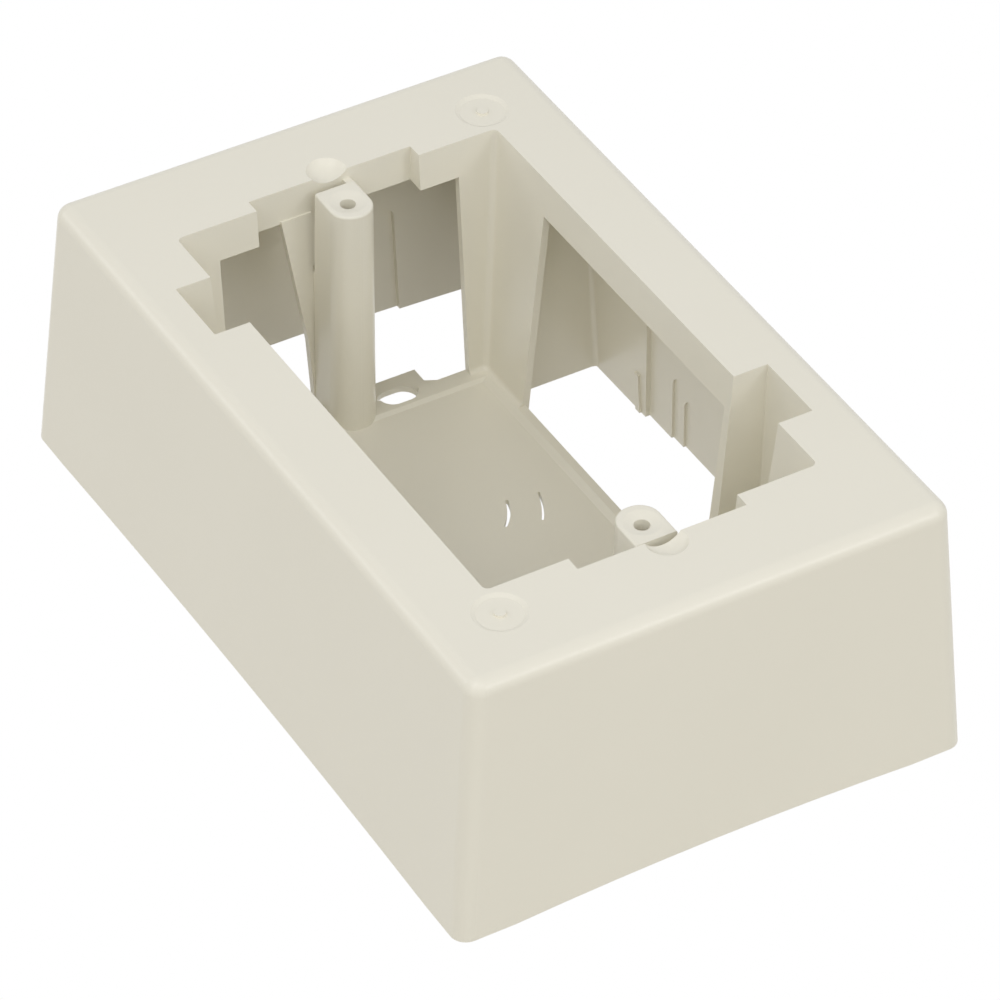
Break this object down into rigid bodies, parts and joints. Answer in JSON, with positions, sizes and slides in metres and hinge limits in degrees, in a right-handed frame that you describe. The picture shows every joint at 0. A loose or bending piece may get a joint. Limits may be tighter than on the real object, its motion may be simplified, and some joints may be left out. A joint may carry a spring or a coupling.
{
  "type": "surface mount box",
  "caption": "Rectangular surface mount box that holds a wall plate for data or fibre outlets off the wall, with an open front pocket and device screw columns.",
  "frame": {"origin": "centre of the wall side of the box, in the plane that touches the wall", "axes": "+X along the long side, +Y along the short side, +Z out of the wall towards the open front"},
  "size_m": [0.128, 0.0838, 0.0445],
  "materials": {
    "ivory_plastic": "satin moulded ABS"
  },
  "bodies": {
    "root": {"box_body": "ivory_plastic"}
  },
  "joints": []
}
